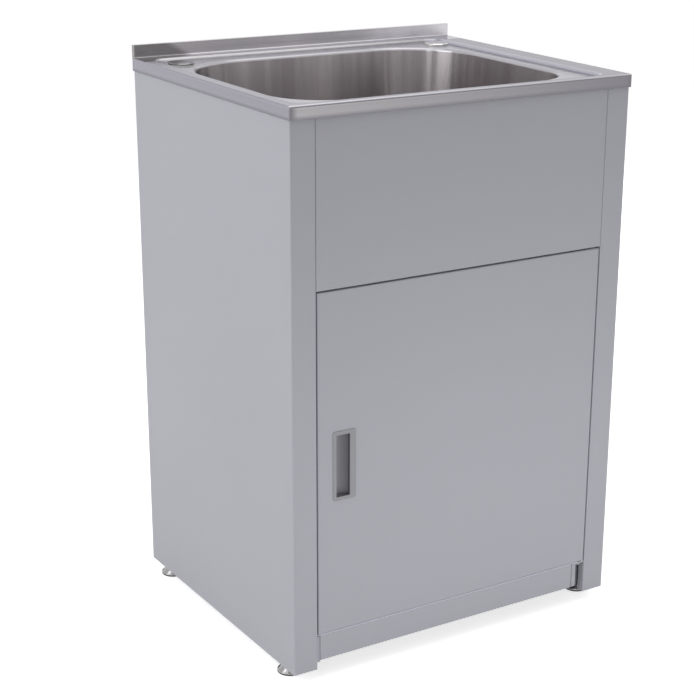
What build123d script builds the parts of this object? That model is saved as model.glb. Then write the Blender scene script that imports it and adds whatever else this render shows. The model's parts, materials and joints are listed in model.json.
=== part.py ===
"""Utility laundry sink: a pressed stainless tub on a folded steel cabinet with one door.

Millimetres, +Z up. X runs left to right seen from the front and Y front to back.
The origin is on the floor under the middle of the steel top.
"""

import os

from build123d import *

os.makedirs("parts", exist_ok=True)

# Steel top
top_width = 600
top_depth = 507
rim_height = 880  # floor to the flat rim
upstand_height = 20
upstand_thickness = 8
edge_band = 20  # depth of the turned-down edge
press_clearance = 1  # cabinet folds clear the recess by this much
tub_sheet = 1.0
rim_corner = 3
rim_fold = 2
band_inset = 2  # nothing but the edge hangs this close to the outline

# Pressed recess round the bowl, measured in from the edges of the top
recess_left_margin = 19
recess_right_margin = 39
recess_front_margin = 15
recess_rear_margin = 25
recess_depth = 6
recess_corner = 22
recess_top_fold = 2
recess_foot_fold = 3.5

# Bowl, measured in from the edges of the top
bowl_left_margin = 38
bowl_right_margin = 64
bowl_front_margin = 46
bowl_rear_margin = 57
bowl_depth = 262  # rim to the bowl floor
bowl_draft = 3  # degrees
bowl_front_corner = 85
bowl_rear_corner = 120
bowl_lip = 5
bowl_floor_radius = 42
floor_fall = 3.5  # drop of the floor towards the waste
floor_fall_radius = 135
press_block_margin = 4  # stock left under the waste seat before shelling

# Waste outlet in the bowl floor
waste_seat_radius = 46
waste_seat_depth = 5
waste_body_radius = 29.5
waste_bore_radius = 25
waste_tail_length = 60
waste_flange_radius = 43
waste_flange_thickness = 2.5
waste_flange_edge = 1.5
waste_hole_clearance = 0.75
thread_clearance = 0.08
waste_seal_thickness = 3
waste_nut_height = 10
waste_nut_across_flats = 74
strainer_drop = 13.5  # flange top to the ledge under the strainer
strainer_ledge = 2
strainer_thickness = 1.5
strainer_hole_radius = 3.2
strainer_ring = 13
strainer_ring_holes = 6
plug_height = 11
plug_taper = 1
plug_rim = 2
plug_edge = 1.2
plug_knob_radius = 5
plug_knob_height = 8
plug_clearance = 0.3
sound_pad_thickness = 2
sound_pad_inner_radius = 54
sound_pad_outer_radius = 125

# By-pass holes in the rear corners of the recess
by_pass_left_margin = 54
by_pass_right_margin = 64
by_pass_rear_margin = 66
by_pass_tube_radius = 17
by_pass_bore_radius = 14
by_pass_tube_length = 55
by_pass_flange_radius = 21
by_pass_flange_thickness = 1.5
by_pass_nut_across_flats = 45
by_pass_nut_height = 8
by_pass_seal_thickness = 2
by_pass_cap_thickness = 2.6
by_pass_cap_skirt = 10
by_pass_cap_edge = 1.4
cap_clearance = 0.3

# Cabinet
cabinet_side_gap = 2  # panels inside the ends of the top
cabinet_setback = 4  # behind the front edge of the top
cabinet_rear_gap = 3
cabinet_sheet = 1.0
bend = 1.6  # outside radius of a fold
panel_clearance = 16  # floor to the bottom of the side panels
stile_width = 40.5
stile_return = 14
rear_flange = 25
top_flange = 12
bottom_flange = 36
fascia_seam = 0.4
mate_gap = 0.3
fascia_bottom = 613.5
fascia_return = 16
fascia_shelf = 38  # depth of the fascia's bottom return, which carries the catch
rail_height = 80
rail_flange = 17
wall_hole_spacing = 300
wall_hole_radius = 4
base_height = 72.5
base_flange = 20
kick_bottom = 29
kick_recess = 1
kick_return = 12
kick_left_margin = 3.5
kick_right_margin = 23.5  # the kick stops short of the right stile
kick_tab = 2  # set back of the tab at each end
kick_tab_end = 5.3  # right tab's end short of the hinge axis
kick_tab_bottom = 26
kick_rivet_margin = 32

# Door
door_gap = 2
door_top_gap = 2.5
door_bottom_gap = 1
door_thickness = 17
door_fold = 2
hinge_inset_x = 8  # hinge axis in from the door's right edge
hinge_inset_y = 6  # hinge axis behind the door's face
pin_radius = 3
pin_fit = 0.05
pin_head_radius = 5
pin_head_height = 2
bush_radius = 4.5
bush_length = 12
bush_flange_radius = 7
bush_flange_thickness = 0.7
pin_hole_clearance = 0.3
hinge_plate_thickness = 2
hinge_plate_size = 14
inner_panel_flange = 5

# Flush pull handle in the door
handle_margin = 25  # in from the door's left edge
handle_width = 39.5
handle_bottom = 287
handle_height = 110
handle_flange_thickness = 1.5
handle_corner = 4
handle_edge = 0.9
handle_rim_x = 8
handle_pocket_shift = 2.5  # the pocket lies towards the door's free edge
handle_rim_z = 6
handle_depth = 12
handle_wall = 1.5
handle_scoop = 7
handle_pocket_corner = 3
handle_fit = 0.4

# Catch, strike and stop
catch_margin = 65.5  # in from the door's free edge
catch_width = 46
catch_depth = 15
catch_height = 14
magnet_width = 30
magnet_height = 7
magnet_depth = 8
strike_width = 40
strike_height = 12
strike_thickness = 1
closed_gap = 0.3
stop_width = 16
stop_end_margin = 26
bumper_radius = 5
bumper_thickness = 2
bumper_margin = 60
strike_drop = 2  # strike plate below the door's top edge

# Levelling feet
foot_side_margin = 20
foot_front_margin = 50
foot_rear_margin = 46
foot_disc_radius = 20
foot_pad_thickness = 2.5
foot_pad_chamfer = 0.5
foot_disc_edge = 2
foot_disc_chamfer = 1
foot_cone_radius = 9
foot_cone_height = 10
foot_collar_across_flats = 14
foot_collar_height = 3
stud_radius = 5
stud_foot = 3.5  # bottom of the stud inside the disc
stud_length = 44.5
stud_chamfer = 1
stud_hole_clearance = 0.5
foot_plate_length = 44
foot_plate_thickness = 2
weld_nut_across_flats = 17
weld_nut_height = 8

# Small fasteners
rivet_radius = 2
rivet_head_radius = 4
rivet_head_height = 1.6
rivet_low_head = 0.6  # under the closed door
rivet_fit = 0.05
rivet_inset = 9  # fascia rivets behind the cabinet front
rivet_end_margin = 40
rail_rivet_inset = 13
rail_rivet_margin = 18
tub_stud_radius = 2
tub_stud_length = 11
tub_stud_side_margin = 110
tub_stud_front_margin = 9.3
tub_stud_rear_margin = 16
tub_stud_clearance = 0.3
tub_nut_across_flats = 7
tub_nut_height = 3.2

pick = 0.01  # slack when edges are picked by height

# Places worked out from the sizes above
front_edge = -top_depth / 2
rear_edge = top_depth / 2
left_edge = -top_width / 2
right_edge = top_width / 2
deck_height = rim_height - recess_depth
floor_height = rim_height - bowl_depth
seat_height = floor_height - floor_fall - waste_seat_depth
cabinet_front = front_edge + cabinet_setback
cabinet_rear = rear_edge - cabinet_rear_gap
panel_x = right_edge - cabinet_side_gap
panel_top = rim_height - tub_sheet
opening_x = panel_x - stile_width
door_x = opening_x - door_gap
door_bottom = base_height + door_bottom_gap
door_top = fascia_bottom - door_top_gap
door_back = cabinet_front + door_thickness
hinge_x = door_x - hinge_inset_x
hinge_y = cabinet_front + hinge_inset_y
kick_left_x = -opening_x + kick_left_margin + door_gap
kick_right_x = door_x - kick_right_margin
handle_left_x = -door_x + handle_margin
catch_x = -door_x + catch_margin
rail_rivet_x = panel_x - rail_rivet_inset
tub_stud_x = right_edge - tub_stud_side_margin
foot_x = right_edge - foot_side_margin
by_pass_y = rear_edge - by_pass_rear_margin
bowl_x = (left_edge + bowl_left_margin + right_edge - bowl_right_margin) / 2
bowl_y = (front_edge + bowl_front_margin + rear_edge - bowl_rear_margin) / 2
bowl_width = top_width - bowl_left_margin - bowl_right_margin
bowl_length = top_depth - bowl_front_margin - bowl_rear_margin
recess_x = (recess_left_margin - recess_right_margin) / 2
recess_y = (recess_front_margin - recess_rear_margin) / 2
recess_width = top_width - recess_left_margin - recess_right_margin
recess_length = top_depth - recess_front_margin - recess_rear_margin
foot_places = [
    (side * foot_x, y)
    for y in (front_edge + foot_front_margin, rear_edge - foot_rear_margin)
    for side in (-1, 1)
]
foot_names = ["front_left", "front_right", "rear_left", "rear_right"]


def save(piece, name):
    """Label a finished piece and write it under its own name."""
    piece.part.label = name
    export_step(piece.part, f"parts/{name}.step")


def bowl_outline(height, inset):
    """The bowl's plan outline at a height, drawn in by an inset."""
    with BuildSketch(Plane.XY.offset(height)) as outline:
        with Locations((bowl_x, bowl_y)):
            Rectangle(bowl_width - 2 * inset, bowl_length - 2 * inset)
        fillet(outline.vertices().group_by(Axis.Y)[0], bowl_front_corner - inset)
        fillet(outline.vertices().group_by(Axis.Y)[-1], bowl_rear_corner - inset)
    return outline.sketch


def bowl_cavity(deck, depth, skin):
    """The drafted bowl under a deck, drawn narrowing upwards and mirrored down at the deck."""
    with BuildPart() as cavity:
        add(bowl_outline(deck, -skin))
        extrude(amount=depth, taper=bowl_draft)
        mirror(about=Plane.XY.offset(deck), mode=Mode.REPLACE)
    return cavity.part


def pressing(skin):
    """The pressed top as a solid block: skin 0 is its upper face, a larger skin lies below it."""
    rim = rim_height - skin
    deck = deck_height - skin
    floor = floor_height - skin
    block_bottom = seat_height - press_block_margin
    with BuildPart() as form:
        with BuildSketch(Plane.XY.offset(rim)) as rim_outline:
            Rectangle(top_width - 2 * skin, top_depth - 2 * skin)
            fillet(rim_outline.vertices(), rim_corner - skin)
        extrude(amount=block_bottom - rim)
        with BuildSketch(Plane.XY.offset(rim)) as upstand_outline:
            with Locations((0, rear_edge - upstand_thickness / 2)):
                Rectangle(top_width - 2 * skin, upstand_thickness - 2 * skin)
            fillet(upstand_outline.vertices().group_by(Axis.Y)[-1], rim_corner - skin)
        extrude(amount=upstand_height)
        upstand_face = rear_edge - upstand_thickness + skin
        upstand_foot = (
            form.edges()
            .filter_by_position(Axis.Z, rim - pick, rim + pick)
            .filter_by_position(Axis.Y, upstand_face - pick, upstand_face + pick)
        )
        fillet(upstand_foot, rim_fold + skin)
        rim_folds = (
            form.edges()
            .filter_by_position(Axis.Z, rim - pick, rim + pick)
            .filter_by_position(Axis.Y, front_edge, upstand_face - rim_fold - skin - pick)
        )
        fillet(rim_folds, rim_fold - skin)
        with BuildSketch(Plane.XY.offset(rim)) as recess_outline:
            with Locations((recess_x, recess_y)):
                Rectangle(recess_width + 2 * skin, recess_length + 2 * skin)
            fillet(recess_outline.vertices(), recess_corner + skin)
        extrude(amount=-recess_depth, mode=Mode.SUBTRACT)
        recess_edges = form.edges(Select.LAST)
        fillet(recess_edges.group_by(Axis.Z)[-1], recess_top_fold - skin)
        recess_floor_edges = form.edges().filter_by_position(Axis.Z, deck - pick, deck + pick)
        fillet(recess_floor_edges, recess_foot_fold + skin)
        add(bowl_cavity(deck, deck - floor, skin), mode=Mode.SUBTRACT)
        bowl_edges = form.edges(Select.LAST)
        fillet(bowl_edges.group_by(Axis.Z)[-1], bowl_lip - skin)
        floor_edges = form.edges().filter_by_position(Axis.Z, floor - pick, floor + pick)
        fillet(floor_edges, bowl_floor_radius + skin)
        fall_middle = floor - floor_fall / 2
        with Locations((bowl_x, bowl_y, fall_middle)):
            Cone(waste_seat_radius + skin, floor_fall_radius, floor_fall, mode=Mode.SUBTRACT)
        with Locations((bowl_x, bowl_y, floor - floor_fall - waste_seat_depth)):
            Cylinder(
                waste_seat_radius + skin,
                waste_seat_depth,
                align=(Align.CENTER, Align.CENTER, Align.MIN),
                mode=Mode.SUBTRACT,
            )
    return form.part


def fold_section(plane, points, side, sheet=cabinet_sheet, radius=bend):
    """Edge view of a folded sheet whose outer face runs through the points."""
    with BuildSketch(plane) as section:
        with BuildLine():
            FilletPolyline(*points, radius=radius)
            offset(amount=sheet, side=side)
        make_face()
    return section.sketch


def upright(radius, bottom, top, x, y, bore=0):
    """A cylinder or tube standing between two heights."""
    with BuildPart() as round_piece:
        with BuildSketch(Plane.XY.offset(bottom)):
            with Locations((x, y)):
                Circle(radius)
                if bore:
                    Circle(bore, mode=Mode.SUBTRACT)
        extrude(amount=top - bottom)
    return round_piece.part


def hexagon(across_flats, bottom, top, x, y, bore):
    """A six-sided nut between two heights."""
    with BuildPart() as nut:
        with BuildSketch(Plane.XY.offset(bottom)):
            with Locations((x, y)):
                RegularPolygon(across_flats / 2, 6, major_radius=False)
                Circle(bore, mode=Mode.SUBTRACT)
        extrude(amount=top - bottom)
    return nut.part


def block(x_range, y_range, z_range):
    """A plain block between three pairs of limits."""
    with BuildPart() as piece:
        with BuildSketch(Plane.XY.offset(z_range[0])):
            with Locations(((x_range[0] + x_range[1]) / 2, (y_range[0] + y_range[1]) / 2)):
                Rectangle(x_range[1] - x_range[0], y_range[1] - y_range[0])
        extrude(amount=z_range[1] - z_range[0])
    return piece.part


# ---------------------------------------------------------------- steel top
by_pass_places = {
    "left": left_edge + by_pass_left_margin,
    "right": right_edge - by_pass_right_margin,
}
under_rim = rim_height - tub_sheet
under_deck = deck_height - tub_sheet
under_seat = seat_height - tub_sheet
band_bottom = rim_height - edge_band

with BuildPart() as tub_top:
    add(pressing(0))
    add(pressing(tub_sheet), mode=Mode.SUBTRACT)
    # the turned-down edge stops at its own depth
    with BuildSketch(Plane.XY.offset(band_bottom)):
        Rectangle(2 * top_width, 2 * top_depth)
        Rectangle(
            top_width - 2 * band_inset, top_depth - 2 * band_inset, mode=Mode.SUBTRACT
        )
    extrude(amount=-bowl_depth, mode=Mode.SUBTRACT)
    with Locations(*[(x, by_pass_y, deck_height) for x in by_pass_places.values()]):
        Hole(by_pass_tube_radius + stud_hole_clearance, edge_band)
    with Locations((bowl_x, bowl_y, seat_height)):
        Hole(waste_body_radius + waste_hole_clearance, edge_band)
save(tub_top, "tub_top")

# A damping ring is stuck under the bowl floor and follows its fall.
floor_slope = floor_fall / (floor_fall_radius - waste_seat_radius - tub_sheet)
under_floor_rim = floor_height - tub_sheet


def under_floor(radius):
    """Height of the underside of the sloping floor at a radius from the waste."""
    return under_floor_rim - (floor_fall_radius - radius) * floor_slope


with BuildPart() as sound_pad:
    with BuildSketch(Plane.XZ.offset(-bowl_y)):
        with BuildLine():
            Polyline(
                (bowl_x + sound_pad_inner_radius, under_floor(sound_pad_inner_radius)),
                (bowl_x + sound_pad_outer_radius, under_floor(sound_pad_outer_radius)),
                (
                    bowl_x + sound_pad_outer_radius,
                    under_floor(sound_pad_outer_radius) - sound_pad_thickness,
                ),
                (
                    bowl_x + sound_pad_inner_radius,
                    under_floor(sound_pad_inner_radius) - sound_pad_thickness,
                ),
                close=True,
            )
        make_face()
    revolve(axis=Axis((bowl_x, bowl_y, 0), (0, 0, 1)))
save(sound_pad, "sound_pad")

# ---------------------------------------------------------------- waste
flange_top = seat_height + waste_flange_thickness
strainer_seat = flange_top - strainer_drop
tail_bottom = seat_height - waste_tail_length

with BuildPart() as waste_body:
    add(upright(waste_flange_radius, seat_height, flange_top, bowl_x, bowl_y))
    chamfer(waste_body.edges().group_by(Axis.Z)[-1], waste_flange_edge)
    add(upright(waste_body_radius, tail_bottom, seat_height, bowl_x, bowl_y))
    with Locations((bowl_x, bowl_y, flange_top)):
        CounterBoreHole(
            waste_bore_radius - strainer_ledge, waste_bore_radius, strainer_drop
        )
save(waste_body, "waste_body")

with BuildPart() as waste_seal:
    add(
        upright(
            waste_flange_radius,
            under_seat - waste_seal_thickness,
            under_seat,
            bowl_x,
            bowl_y,
            waste_body_radius + thread_clearance,
        )
    )
save(waste_seal, "waste_seal")

with BuildPart() as waste_nut:
    nut_top = under_seat - waste_seal_thickness
    add(
        hexagon(
            waste_nut_across_flats,
            nut_top - waste_nut_height,
            nut_top,
            bowl_x,
            bowl_y,
            waste_body_radius + thread_clearance,
        )
    )
save(waste_nut, "waste_nut")

with BuildPart() as strainer_grate:
    with BuildSketch(Plane.XY.offset(strainer_seat)):
        with Locations((bowl_x, bowl_y)):
            Circle(waste_bore_radius - rivet_fit)
            with PolarLocations(strainer_ring, strainer_ring_holes):
                Circle(strainer_hole_radius, mode=Mode.SUBTRACT)
            Circle(strainer_hole_radius, mode=Mode.SUBTRACT)
    extrude(amount=strainer_thickness)
save(strainer_grate, "strainer_grate")

plug_rim_bottom = flange_top + plug_clearance
with BuildPart() as plug:
    with Locations((bowl_x, bowl_y, plug_rim_bottom - plug_height / 2)):
        Cone(
            waste_bore_radius - plug_clearance - plug_taper,
            waste_bore_radius - plug_clearance,
            plug_height,
        )
    plug_rim_top = plug_rim_bottom + plug_rim
    add(upright(waste_bore_radius + plug_rim, plug_rim_bottom, plug_rim_top, bowl_x, bowl_y))
    chamfer(plug.edges().group_by(Axis.Z)[-1], plug_edge)
    knob_top = plug_rim_top + plug_knob_height
    add(upright(plug_knob_radius, plug_rim_bottom, knob_top, bowl_x, bowl_y))
    chamfer(plug.edges().group_by(Axis.Z)[-1], plug_edge)
save(plug, "plug")

# ---------------------------------------------------------------- by-pass fittings
spigot_flange_top = deck_height + by_pass_flange_thickness
spigot_bottom = deck_height - by_pass_tube_length
by_pass_seal_bottom = under_deck - by_pass_seal_thickness
by_pass_nut_bottom = by_pass_seal_bottom - by_pass_nut_height
cap_bottom = spigot_flange_top + cap_clearance
cap_top = cap_bottom + by_pass_cap_thickness

for side, x in by_pass_places.items():
    with BuildPart() as by_pass_spigot:
        add(upright(by_pass_flange_radius, deck_height, spigot_flange_top, x, by_pass_y))
        add(upright(by_pass_tube_radius, spigot_bottom, deck_height, x, by_pass_y))
        with Locations((x, by_pass_y, spigot_flange_top)):
            Hole(by_pass_bore_radius)
    save(by_pass_spigot, f"by_pass_spigot_{side}")

    with BuildPart() as by_pass_seal:
        add(
            upright(
                by_pass_flange_radius,
                by_pass_seal_bottom,
                under_deck,
                x,
                by_pass_y,
                by_pass_tube_radius + thread_clearance,
            )
        )
    save(by_pass_seal, f"by_pass_seal_{side}")

    with BuildPart() as by_pass_nut:
        add(
            hexagon(
                by_pass_nut_across_flats,
                by_pass_nut_bottom,
                by_pass_seal_bottom,
                x,
                by_pass_y,
                by_pass_tube_radius + thread_clearance,
            )
        )
    save(by_pass_nut, f"by_pass_nut_{side}")

    with BuildPart() as by_pass_cap:
        cap_radius = by_pass_flange_radius - cap_clearance
        skirt_radius = by_pass_bore_radius - cap_clearance
        add(upright(cap_radius, cap_bottom, cap_top, x, by_pass_y))
        chamfer(by_pass_cap.edges().group_by(Axis.Z)[-1], by_pass_cap_edge)
        add(
            upright(
                skirt_radius,
                cap_bottom - by_pass_cap_skirt,
                cap_bottom,
                x,
                by_pass_y,
                skirt_radius - by_pass_flange_thickness,
            )
        )
    save(by_pass_cap, f"by_pass_cap_{side}")

# ---------------------------------------------------------------- cabinet shell
panel_inside = panel_x - cabinet_sheet
recess_front_wall = front_edge + recess_front_margin - tub_sheet - press_clearance
recess_underside = under_deck - press_clearance
rail_back = cabinet_rear - cabinet_sheet
rail_inside = rail_back - cabinet_sheet
fascia_x = opening_x - fascia_seam
fascia_rivet_y = cabinet_front + rivet_inset
fascia_rivet_heights = (fascia_bottom + rivet_end_margin, panel_top - rivet_end_margin)

with BuildPart() as left_side_panel:
    panel_points = [
        (-panel_x + rear_flange, cabinet_rear),
        (-panel_x, cabinet_rear),
        (-panel_x, cabinet_front),
        (-opening_x, cabinet_front),
        (-opening_x, cabinet_front + stile_return),
    ]
    extrude(
        fold_section(Plane.XY.offset(panel_clearance), panel_points, Side.LEFT),
        amount=panel_top - panel_clearance,
    )
    add(
        block(
            (-panel_inside - cabinet_sheet / 2, -panel_x + top_flange),
            (cabinet_front + bend, rail_inside - mate_gap),
            (panel_top - cabinet_sheet, panel_top),
        )
    )
    add(
        block(
            (-panel_inside - cabinet_sheet / 2, -panel_x + bottom_flange),
            (cabinet_front + cabinet_sheet / 2, rail_back + cabinet_sheet / 2),
            (panel_clearance, panel_clearance + cabinet_sheet),
        )
    )
    # the stile's return is cut back under the pressed recess
    add(
        block(
            (-panel_x + top_flange, -opening_x + cabinet_sheet),
            (recess_front_wall, recess_front_wall + stile_return),
            (recess_underside, rim_height),
        ),
        mode=Mode.SUBTRACT,
    )
    with Locations(
        *[(-foot_x, y, panel_clearance + cabinet_sheet) for x, y in foot_places if x < 0]
    ):
        Hole(stud_radius + stud_hole_clearance, 2 * cabinet_sheet)
    for height in fascia_rivet_heights:
        with Locations(Plane((-opening_x, fascia_rivet_y, height), z_dir=(1, 0, 0))):
            Hole(rivet_radius + rivet_fit, 2 * cabinet_sheet)
    for rail_bottom, rail_top in (
        (panel_clearance + cabinet_sheet, base_height - cabinet_sheet),
        (panel_top - rail_height, panel_top),
    ):
        for height in (rail_bottom + rail_rivet_margin, rail_top - rail_rivet_margin):
            with Locations(Plane((-rail_rivet_x, cabinet_rear, height), z_dir=(0, 1, 0))):
                Hole(rivet_radius + rivet_fit, 2 * cabinet_sheet)
save(left_side_panel, "left_side_panel")

with BuildPart() as right_side_panel:
    add(mirror(left_side_panel.part, about=Plane.YZ))
save(right_side_panel, "right_side_panel")

with BuildPart() as front_fascia:
    add(
        block(
            (-fascia_x, fascia_x),
            (cabinet_front, cabinet_front + fascia_return),
            (fascia_bottom, panel_top),
        )
    )
    fillet(front_fascia.faces().sort_by(Axis.Y)[0].edges(), bend)
    offset(amount=-cabinet_sheet, openings=front_fascia.faces().sort_by(Axis.Y)[-1])
    # the shelf across its foot carries the catch and the upper hinge pin
    add(
        block(
            (-fascia_x, fascia_x),
            (cabinet_front + bend, cabinet_front + fascia_shelf),
            (fascia_bottom, fascia_bottom + cabinet_sheet),
        )
    )
    add(
        block(
            (-panel_x, panel_x),
            (recess_front_wall, cabinet_front + fascia_shelf),
            (recess_underside, rim_height),
        ),
        mode=Mode.SUBTRACT,
    )
    with Locations((hinge_x, hinge_y, fascia_bottom + cabinet_sheet)):
        Hole(pin_radius + pin_hole_clearance, 2 * cabinet_sheet)
    tub_stud_front_y = front_edge + tub_stud_front_margin
    with Locations(*[(x, tub_stud_front_y, panel_top) for x in (-tub_stud_x, tub_stud_x)]):
        Hole(tub_stud_radius + tub_stud_clearance, 2 * cabinet_sheet)
    for height in fascia_rivet_heights:
        for side in (-1, 1):
            with Locations(
                Plane((side * fascia_x, fascia_rivet_y, height), z_dir=(side, 0, 0))
            ):
                Hole(rivet_radius + rivet_fit, 2 * cabinet_sheet)
save(front_fascia, "front_fascia")

# Two rails join the side panels at the back, one under the top, one under the base.
rail_x = panel_inside - bend
rail_flange_x = panel_x - top_flange - mate_gap
rail_front = rail_back - rail_flange
lower_rail_bottom = panel_clearance + cabinet_sheet
base_underside = base_height - cabinet_sheet
rail_spans = {
    "top": (panel_top - rail_height, panel_top),
    "bottom": (lower_rail_bottom, base_underside),
}
tub_stud_rear_y = rear_edge - tub_stud_rear_margin
wall_hole_height = panel_top - rail_height / 2

for name, (rail_bottom, rail_top) in rail_spans.items():
    with BuildPart() as rear_rail:
        rail_points = [
            (rail_front, rail_top),
            (rail_back, rail_top),
            (rail_back, rail_bottom),
            (rail_front, rail_bottom),
        ]
        flange_x = rail_flange_x if name == "top" else panel_x - bottom_flange - mate_gap
        extrude(fold_section(Plane.YZ, rail_points, Side.RIGHT), amount=flange_x, both=True)
        add(
            block(
                (-rail_x, rail_x),
                (rail_inside, rail_back),
                (rail_bottom + bend, rail_top - bend),
            )
        )
        for height in (rail_bottom + rail_rivet_margin, rail_top - rail_rivet_margin):
            for x in (-rail_rivet_x, rail_rivet_x):
                with Locations(Plane((x, rail_back, height), z_dir=(0, 1, 0))):
                    Hole(rivet_radius + rivet_fit, 2 * cabinet_sheet)
        if name == "top":
            for x in (-wall_hole_spacing / 2, wall_hole_spacing / 2):
                with Locations(Plane((x, rail_back, wall_hole_height), z_dir=(0, 1, 0))):
                    Hole(wall_hole_radius, 2 * cabinet_sheet)
            with Locations(
                *[(x, tub_stud_rear_y, rail_top) for x in (-tub_stud_x, tub_stud_x)]
            ):
                Hole(tub_stud_radius + tub_stud_clearance, 2 * cabinet_sheet)
    save(rear_rail, f"rear_{name}_rail")

base_x = panel_inside - mate_gap
tongue_x = opening_x - mate_gap
tongue_front = cabinet_front + kick_recess
base_front = cabinet_front + stile_return + mate_gap

with BuildPart() as base_pan:
    base_points = [
        (-base_x, base_height - base_flange),
        (-base_x, base_height),
        (base_x, base_height),
        (base_x, base_height - base_flange),
    ]
    extrude(
        fold_section(Plane.XZ.offset(-base_front), base_points, Side.RIGHT),
        amount=base_front - rail_inside + mate_gap,
    )
    add(
        block(
            (-tongue_x, tongue_x),
            (tongue_front, base_front + bend),
            (base_underside, base_height),
        )
    )
    with Locations((hinge_x, hinge_y, base_height)):
        Hole(pin_radius + pin_hole_clearance, 2 * cabinet_sheet)
    kick_rivet_y = tongue_front + kick_return / 2
    kick_rivet_xs = (kick_left_x + kick_rivet_margin, 0, kick_right_x - kick_rivet_margin)
    kick_rivet_places = [(x, kick_rivet_y) for x in kick_rivet_xs]
    with Locations(*[(x, y, base_height) for x, y in kick_rivet_places]):
        Hole(rivet_radius + rivet_fit, 2 * cabinet_sheet)
save(base_pan, "base_pan")

with BuildPart() as kick_panel:
    add(
        block(
            (kick_left_x, kick_right_x),
            (tongue_front, tongue_front + kick_return),
            (kick_bottom, base_underside),
        )
    )
    fillet(kick_panel.faces().sort_by(Axis.Y)[0].edges(), bend)
    offset(amount=-cabinet_sheet, openings=kick_panel.faces().sort_by(Axis.Y)[-1])
    # a set-back tab closes most of the gap at each end
    tab_front = tongue_front + kick_tab
    tab_top = base_underside - hinge_plate_thickness - mate_gap
    for tab_ends, tab_bottom in (
        ((-opening_x + mate_gap, kick_left_x + cabinet_sheet / 2), kick_tab_bottom),
        ((kick_right_x - cabinet_sheet / 2, hinge_x - kick_tab_end), kick_bottom),
    ):
        add(block(tab_ends, (tab_front, tab_front + cabinet_sheet), (tab_bottom, tab_top)))
    with Locations(*[(x, y, base_underside) for x, y in kick_rivet_places]):
        Hole(rivet_radius + rivet_fit, 2 * cabinet_sheet)
save(kick_panel, "kick_panel")

# ---------------------------------------------------------------- levelling feet
plate_bottom = panel_clearance + cabinet_sheet
plate_top = plate_bottom + foot_plate_thickness
plate_inner_x = panel_x - bottom_flange

for foot_name, (x, y) in zip(foot_names, foot_places):
    side = 1 if x > 0 else -1
    with BuildPart() as foot_bracket:
        bracket_points = [
            (side * base_x, plate_bottom),
            (side * plate_inner_x, plate_bottom),
            (side * plate_inner_x, base_underside),
        ]
        bracket_side = Side.RIGHT if side > 0 else Side.LEFT
        extrude(
            fold_section(
                Plane.XZ.offset(-y),
                bracket_points,
                bracket_side,
                foot_plate_thickness,
                2 * bend,
            ),
            amount=foot_plate_length / 2,
            both=True,
        )
        with Locations((x, y, plate_top)):
            Hole(stud_radius + stud_hole_clearance, 2 * foot_plate_thickness)
    save(foot_bracket, f"foot_bracket_{foot_name}")

    with BuildPart() as foot_pad:
        add(upright(foot_disc_radius, 0, foot_pad_thickness, x, y))
        chamfer(foot_pad.edges().group_by(Axis.Z)[0], foot_pad_chamfer)
    save(foot_pad, f"foot_pad_{foot_name}")

    with BuildPart() as foot_disc:
        rim_top = foot_pad_thickness + foot_disc_edge
        add(upright(foot_disc_radius, foot_pad_thickness, rim_top, x, y))
        chamfer(foot_disc.edges().group_by(Axis.Z)[-1], foot_disc_chamfer)
        cone_height = foot_cone_height - rim_top
        with Locations((x, y, rim_top + cone_height / 2)):
            Cone(foot_disc_radius - foot_disc_edge, foot_cone_radius, cone_height)
        collar_top = foot_cone_height + foot_collar_height
        add(hexagon(foot_collar_across_flats, foot_cone_height, collar_top, x, y, stud_radius))
        with Locations((x, y, foot_cone_height)):
            Hole(stud_radius, foot_cone_height - stud_foot)
    save(foot_disc, f"foot_disc_{foot_name}")

    with BuildPart() as foot_stud:
        add(upright(stud_radius, stud_foot, stud_foot + stud_length, x, y))
        chamfer(foot_stud.edges().group_by(Axis.Z)[-1], stud_chamfer)
    save(foot_stud, f"foot_stud_{foot_name}")

with BuildPart() as weld_nuts:
    nut_top = plate_top + weld_nut_height
    nut_bore = stud_radius + pin_fit
    for x, y in foot_places:
        add(hexagon(weld_nut_across_flats, plate_top, nut_top, x, y, nut_bore))
save(weld_nuts, "weld_nuts")

# ---------------------------------------------------------------- hinges
lower_bush_bottom = door_bottom - bush_flange_thickness
upper_bush_top = door_top + bush_flange_thickness
upper_plate_bottom = fascia_bottom + cabinet_sheet
plate_x = (hinge_x - hinge_plate_size, fascia_x - cabinet_sheet - mate_gap)
plate_y = (tongue_front, tongue_front + hinge_plate_size)
upper_plate_y = (cabinet_front + bend, cabinet_front + bend + hinge_plate_size)

# name, bottom of the plate, its depth, bottom and top of the pin's head, far end of the pin
hinge_ends = [
    (
        "lower",
        base_underside - hinge_plate_thickness,
        plate_y,
        base_underside - hinge_plate_thickness - pin_head_height,
        door_bottom + bush_length + pin_head_height,
    ),
    (
        "upper",
        upper_plate_bottom,
        upper_plate_y,
        upper_plate_bottom + hinge_plate_thickness,
        door_top - bush_length - pin_head_height,
    ),
]
for name, bracket_bottom, bracket_y, head_bottom, pin_end in hinge_ends:
    bracket_top = bracket_bottom + hinge_plate_thickness
    with BuildPart() as hinge_bracket:
        add(block(plate_x, bracket_y, (bracket_bottom, bracket_top)))
        fillet(hinge_bracket.edges().filter_by(Axis.Z).sort_by(Axis.X)[:2], pin_radius)
        with Locations((hinge_x, hinge_y, bracket_top)):
            Hole(pin_radius + pin_fit, 2 * hinge_plate_thickness)
    save(hinge_bracket, f"hinge_bracket_{name}")

    with BuildPart() as hinge_pin:
        head_top = head_bottom + pin_head_height
        add(upright(pin_head_radius, head_bottom, head_top, hinge_x, hinge_y))
        pin_start = head_top if pin_end > head_top else head_bottom
        add(upright(pin_radius, pin_start, pin_end, hinge_x, hinge_y))
    save(hinge_pin, f"hinge_pin_{name}")

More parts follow.
